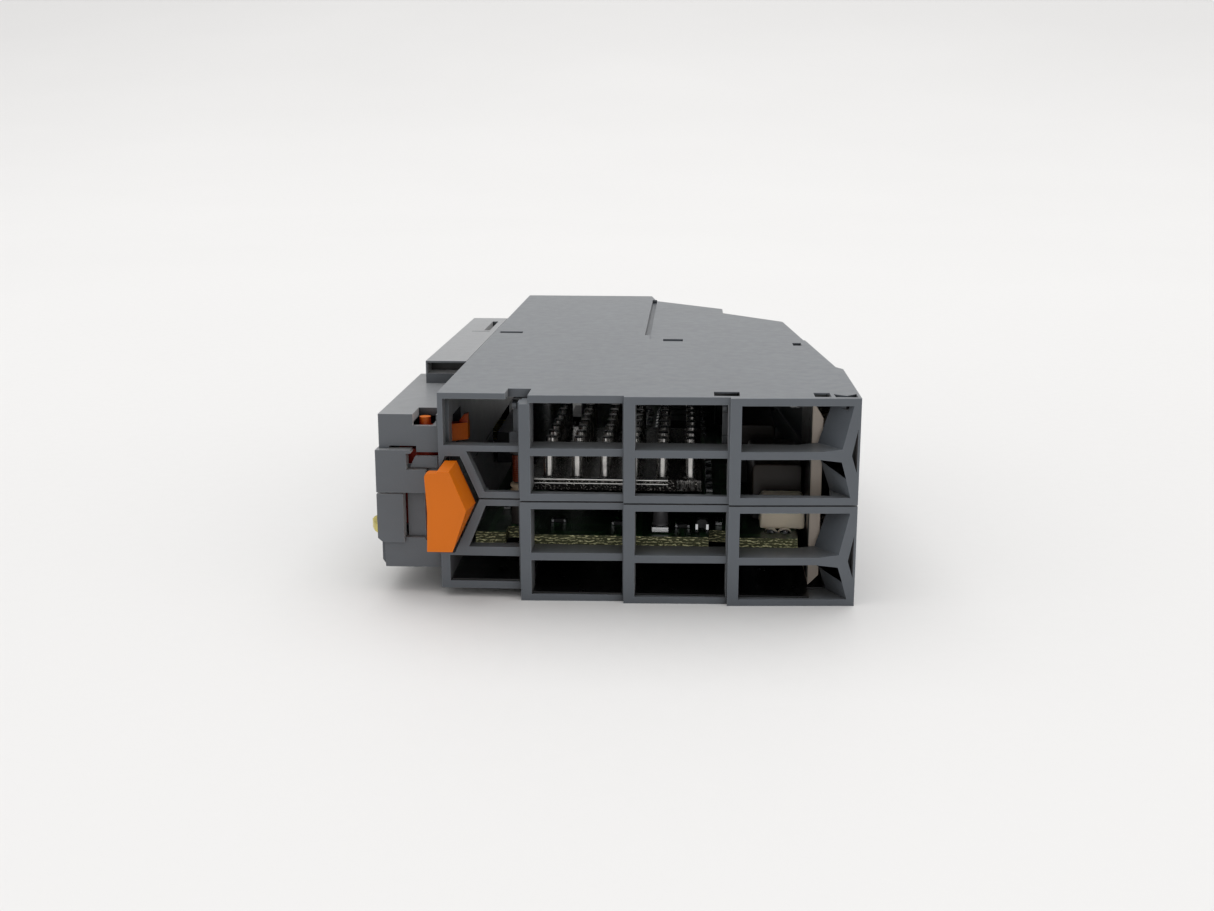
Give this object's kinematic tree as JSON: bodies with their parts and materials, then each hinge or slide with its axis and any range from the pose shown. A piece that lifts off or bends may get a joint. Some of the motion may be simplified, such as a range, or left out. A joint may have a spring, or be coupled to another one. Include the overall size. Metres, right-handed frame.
{
  "type": "din rail control relay module",
  "caption": "Two-slot DIN-rail control relay module: vented grey housing plugged onto a clip-on bus base with an orange locking lever.",
  "frame": {"origin": "centre of the bounding box's lower face, with the module lying on its side", "axes": "+X from the rail side to the terminal side, +Y from the vented end with the lever to the far end, +Z across the two slots, up as it lies"},
  "size_m": [0.0592, 0.102, 0.025],
  "materials": {
    "housing_grey": "fine spark-eroded matt",
    "dark_grey": "matt",
    "cream_plastic": "satin",
    "brown_plastic": "satin",
    "circuit_board": "solder mask over glass weave",
    "black_plastic": "satin",
    "heat_sink_black": "black anodised",
    "thermal_pad": "soft matt",
    "tinned_metal": "bright",
    "copper_winding": "lacquered wire",
    "brass_spring": "yellow-passivated",
    "steel_pin": "ground",
    "orange_plastic": "satin"
  },
  "bodies": {
    "bus_base": {"base_upper_shell": "housing_grey", "base_lower_shell": "housing_grey", "base_board": "circuit_board", "bus_socket": "black_plastic", "ground_spring": "brass_spring", "lever_pin": "steel_pin"},
    "electronics_module": {"upper_housing_shell": "housing_grey", "lower_housing_shell": "housing_grey", "status_panel": "dark_grey", "light_guide": "cream_plastic", "insulating_sheet": "black_plastic", "main_board": "circuit_board", "power_board": "circuit_board", "board_connector": "black_plastic", "heat_sink": "heat_sink_black", "driver_chip": "black_plastic", "thermal_pad": "thermal_pad", "fuse_block": "cream_plastic", "near_relay": "brown_plastic", "far_relay": "brown_plastic", "small_capacitor": "tinned_metal", "tall_capacitor": "tinned_metal", "bulk_capacitor": "tinned_metal", "choke": "copper_winding", "signal_transistor": "black_plastic", "microcontroller": "black_plastic", "optocoupler_1": "black_plastic", "optocoupler_2": "black_plastic", "optocoupler_3": "black_plastic", "optocoupler_4": "black_plastic", "bus_plug": "black_plastic", "lower_terminal_header": "dark_grey", "lower_terminal_contact_1": "tinned_metal", "lower_terminal_contact_2": "tinned_metal", "lower_terminal_contact_3": "tinned_metal", "lower_terminal_contact_4": "tinned_metal", "lower_terminal_contact_5": "tinned_metal", "lower_terminal_contact_6": "tinned_metal", "upper_terminal_header": "dark_grey", "upper_terminal_contact_1": "tinned_metal", "upper_terminal_contact_2": "tinned_metal", "upper_terminal_contact_3": "tinned_metal", "upper_terminal_contact_4": "tinned_metal", "upper_terminal_contact_5": "tinned_metal", "upper_terminal_contact_6": "tinned_metal"},
    "locking_lever": {"locking_lever": "orange_plastic"},
    "rail_latch": {"rail_latch": "dark_grey"}
  },
  "joints": [
    {"name": "module_pull", "type": "slide", "parent": "bus_base", "child": "electronics_module", "axis": [1, 0, 0], "range_m": [0, 0.03]},
    {"name": "lever_hinge", "type": "hinge", "parent": "bus_base", "child": "locking_lever", "pos_m": [-0.0217, -0.0424, 0.0125], "axis": [0, 0, -1], "range_deg": [0, 30]},
    {"name": "latch_slide", "type": "slide", "parent": "bus_base", "child": "rail_latch", "axis": [0, 1, 0], "range_m": [0, 0.0016]}
  ],
  "couplings": [
    {"joint": "lever_hinge", "follows": "latch_slide", "rad_per_m": 327}
  ]
}
